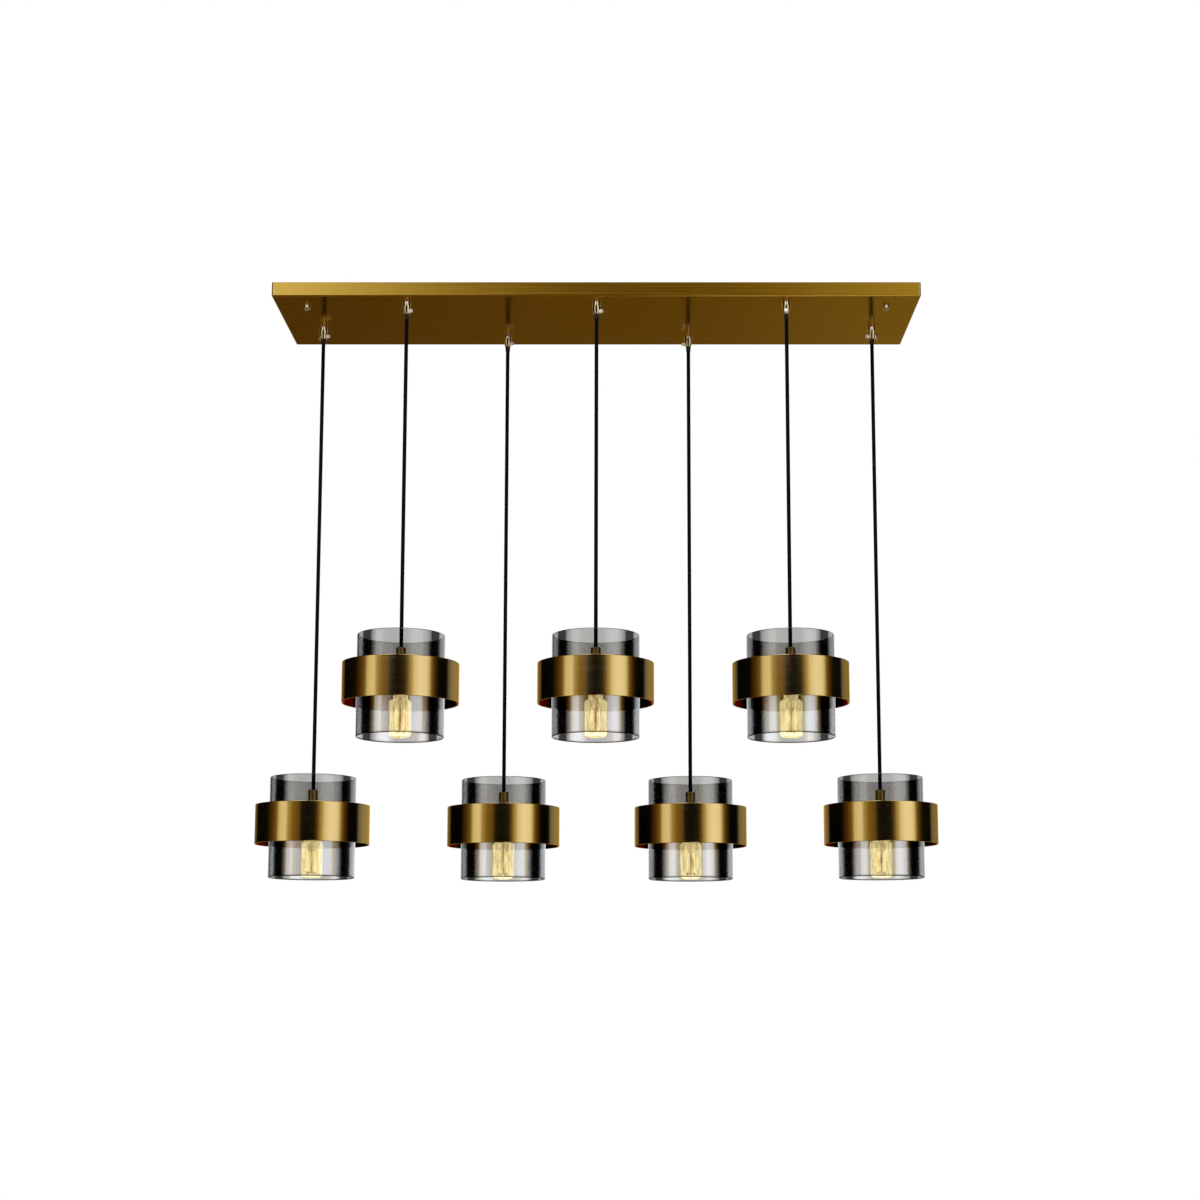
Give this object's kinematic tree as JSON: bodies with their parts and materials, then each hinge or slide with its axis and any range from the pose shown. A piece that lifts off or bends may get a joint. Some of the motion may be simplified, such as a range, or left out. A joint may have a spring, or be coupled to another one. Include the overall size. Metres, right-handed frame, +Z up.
{
  "type": "ceiling light",
  "caption": "Linear ceiling light: a long brushed brass canopy with open smoke glass cylinders, each ringed by a brass band, hung at two heights on black cords.",
  "frame": {"origin": "middle of the canopy on the ceiling plane", "axes": "+X along the canopy, +Y from its front edge to its back edge, +Z up to the ceiling"},
  "size_m": [1.166, 0.364, 0.999],
  "materials": {
    "brushed_brass": "fine brushed, lacquered",
    "polished_brass": "polished",
    "nickel": "polished, knurled",
    "zinc_steel": "zinc plated",
    "smoke_glass": "clear smoke grey, glossy",
    "bulb_glass": "clear",
    "lampholder": "brass cup round a black insulating body",
    "cord_black": "braided textile over flex",
    "boot_rubber": "matt",
    "block_plastic": "moulded"
  },
  "bodies": {
    "canopy": {"canopy_pan": "brushed_brass", "ceiling_straps": "zinc_steel", "strap_studs": "zinc_steel", "cap_nuts": "polished_brass", "cord_grips": "polished_brass", "grip_locknuts": "zinc_steel", "grip_set_screws": "nickel", "terminal_block": "block_plastic", "terminal_screws": "zinc_steel", "cord_tails": "cord_black", "earth_stud": "polished_brass"},
    "boot_1": {"cord_boot_1": "boot_rubber"},
    "hanging_cord_1": {"cord_1": "cord_black"},
    "shade_1": {"brass_band_1": "brushed_brass", "smoke_glass_1": "smoke_glass", "spider_1": "zinc_steel", "lampholder_1": "lampholder"},
    "lamp_1": {"bulb_1": "bulb_glass"},
    "boot_2": {"cord_boot_2": "boot_rubber"},
    "hanging_cord_2": {"cord_2": "cord_black"},
    "shade_2": {"brass_band_2": "brushed_brass", "smoke_glass_2": "smoke_glass", "spider_2": "zinc_steel", "lampholder_2": "lampholder"},
    "lamp_2": {"bulb_2": "bulb_glass"},
    "boot_3": {"cord_boot_3": "boot_rubber"},
    "hanging_cord_3": {"cord_3": "cord_black"},
    "shade_3": {"brass_band_3": "brushed_brass", "smoke_glass_3": "smoke_glass", "spider_3": "zinc_steel", "lampholder_3": "lampholder"},
    "lamp_3": {"bulb_3": "bulb_glass"},
    "boot_4": {"cord_boot_4": "boot_rubber"},
    "hanging_cord_4": {"cord_4": "cord_black"},
    "shade_4": {"brass_band_4": "brushed_brass", "smoke_glass_4": "smoke_glass", "spider_4": "zinc_steel", "lampholder_4": "lampholder"},
    "lamp_4": {"bulb_4": "bulb_glass"},
    "boot_5": {"cord_boot_5": "boot_rubber"},
    "hanging_cord_5": {"cord_5": "cord_black"},
    "shade_5": {"brass_band_5": "brushed_brass", "smoke_glass_5": "smoke_glass", "spider_5": "zinc_steel", "lampholder_5": "lampholder"},
    "lamp_5": {"bulb_5": "bulb_glass"},
    "boot_6": {"cord_boot_6": "boot_rubber"},
    "hanging_cord_6": {"cord_6": "cord_black"},
    "shade_6": {"brass_band_6": "brushed_brass", "smoke_glass_6": "smoke_glass", "spider_6": "zinc_steel", "lampholder_6": "lampholder"},
    "lamp_6": {"bulb_6": "bulb_glass"},
    "boot_7": {"cord_boot_7": "boot_rubber"},
    "hanging_cord_7": {"cord_7": "cord_black"},
    "shade_7": {"brass_band_7": "brushed_brass", "smoke_glass_7": "smoke_glass", "spider_7": "zinc_steel", "lampholder_7": "lampholder"},
    "lamp_7": {"bulb_7": "bulb_glass"}
  },
  "joints": [
    {"name": "swing_fore_aft_1", "type": "hinge", "parent": "canopy", "child": "boot_1", "pos_m": [-0.486, 0.034, -0.046], "axis": [1, 0, 0], "range_deg": [-6, 6]},
    {"name": "swing_sideways_1", "type": "hinge", "parent": "boot_1", "child": "hanging_cord_1", "pos_m": [-0.486, 0.034, -0.05473], "axis": [0, 1, 0], "range_deg": [-6, 6]},
    {"name": "height_1", "type": "slide", "parent": "hanging_cord_1", "child": "shade_1", "axis": [0, 0, 1], "range_m": [0, 0.25], "deforming": ["cord_1"]},
    {"name": "bulb_unscrew_1", "type": "hinge", "parent": "shade_1", "child": "lamp_1", "pos_m": [-0.486, 0.034, -0.999], "axis": [0, 0, -1], "range_deg": [0, 1080]},
    {"name": "swing_fore_aft_2", "type": "hinge", "parent": "canopy", "child": "boot_2", "pos_m": [-0.324, -0.094, -0.046], "axis": [1, 0, 0], "range_deg": [-6, 6]},
    {"name": "swing_sideways_2", "type": "hinge", "parent": "boot_2", "child": "hanging_cord_2", "pos_m": [-0.324, -0.094, -0.05473], "axis": [0, 1, 0], "range_deg": [-6, 6]},
    {"name": "height_2", "type": "slide", "parent": "hanging_cord_2", "child": "shade_2", "axis": [0, 0, 1], "range_m": [0, 0.25], "deforming": ["cord_2"]},
    {"name": "bulb_unscrew_2", "type": "hinge", "parent": "shade_2", "child": "lamp_2", "pos_m": [-0.324, -0.094, -0.774], "axis": [0, 0, -1], "range_deg": [0, 1080]},
    {"name": "swing_fore_aft_3", "type": "hinge", "parent": "canopy", "child": "boot_3", "pos_m": [-0.162, 0.076, -0.046], "axis": [1, 0, 0], "range_deg": [-6, 6]},
    {"name": "swing_sideways_3", "type": "hinge", "parent": "boot_3", "child": "hanging_cord_3", "pos_m": [-0.162, 0.076, -0.05473], "axis": [0, 1, 0], "range_deg": [-6, 6]},
    {"name": "height_3", "type": "slide", "parent": "hanging_cord_3", "child": "shade_3", "axis": [0, 0, 1], "range_m": [0, 0.25], "deforming": ["cord_3"]},
    {"name": "bulb_unscrew_3", "type": "hinge", "parent": "shade_3", "child": "lamp_3", "pos_m": [-0.162, 0.076, -0.999], "axis": [0, 0, -1], "range_deg": [0, 1080]},
    {"name": "swing_fore_aft_4", "type": "hinge", "parent": "canopy", "child": "boot_4", "pos_m": [0, -0.094, -0.046], "axis": [1, 0, 0], "range_deg": [-6, 6]},
    {"name": "swing_sideways_4", "type": "hinge", "parent": "boot_4", "child": "hanging_cord_4", "pos_m": [0, -0.094, -0.05473], "axis": [0, 1, 0], "range_deg": [-6, 6]},
    {"name": "height_4", "type": "slide", "parent": "hanging_cord_4", "child": "shade_4", "axis": [0, 0, 1], "range_m": [0, 0.25], "deforming": ["cord_4"]},
    {"name": "bulb_unscrew_4", "type": "hinge", "parent": "shade_4", "child": "lamp_4", "pos_m": [0, -0.094, -0.774], "axis": [0, 0, -1], "range_deg": [0, 1080]},
    {"name": "swing_fore_aft_5", "type": "hinge", "parent": "canopy", "child": "boot_5", "pos_m": [0.162, 0.076, -0.046], "axis": [1, 0, 0], "range_deg": [-6, 6]},
    {"name": "swing_sideways_5", "type": "hinge", "parent": "boot_5", "child": "hanging_cord_5", "pos_m": [0.162, 0.076, -0.05473], "axis": [0, 1, 0], "range_deg": [-6, 6]},
    {"name": "height_5", "type": "slide", "parent": "hanging_cord_5", "child": "shade_5", "axis": [0, 0, 1], "range_m": [0, 0.25], "deforming": ["cord_5"]},
    {"name": "bulb_unscrew_5", "type": "hinge", "parent": "shade_5", "child": "lamp_5", "pos_m": [0.162, 0.076, -0.999], "axis": [0, 0, -1], "range_deg": [0, 1080]},
    {"name": "swing_fore_aft_6", "type": "hinge", "parent": "canopy", "child": "boot_6", "pos_m": [0.324, -0.094, -0.046], "axis": [1, 0, 0], "range_deg": [-6, 6]},
    {"name": "swing_sideways_6", "type": "hinge", "parent": "boot_6", "child": "hanging_cord_6", "pos_m": [0.324, -0.094, -0.05473], "axis": [0, 1, 0], "range_deg": [-6, 6]},
    {"name": "height_6", "type": "slide", "parent": "hanging_cord_6", "child": "shade_6", "axis": [0, 0, 1], "range_m": [0, 0.25], "deforming": ["cord_6"]},
    {"name": "bulb_unscrew_6", "type": "hinge", "parent": "shade_6", "child": "lamp_6", "pos_m": [0.324, -0.094, -0.774], "axis": [0, 0, -1], "range_deg": [0, 1080]},
    {"name": "swing_fore_aft_7", "type": "hinge", "parent": "canopy", "child": "boot_7", "pos_m": [0.486, 0.034, -0.046], "axis": [1, 0, 0], "range_deg": [-6, 6]},
    {"name": "swing_sideways_7", "type": "hinge", "parent": "boot_7", "child": "hanging_cord_7", "pos_m": [0.486, 0.034, -0.05473], "axis": [0, 1, 0], "range_deg": [-6, 6]},
    {"name": "height_7", "type": "slide", "parent": "hanging_cord_7", "child": "shade_7", "axis": [0, 0, 1], "range_m": [0, 0.25], "deforming": ["cord_7"]},
    {"name": "bulb_unscrew_7", "type": "hinge", "parent": "shade_7", "child": "lamp_7", "pos_m": [0.486, 0.034, -0.999], "axis": [0, 0, -1], "range_deg": [0, 1080]}
  ]
}
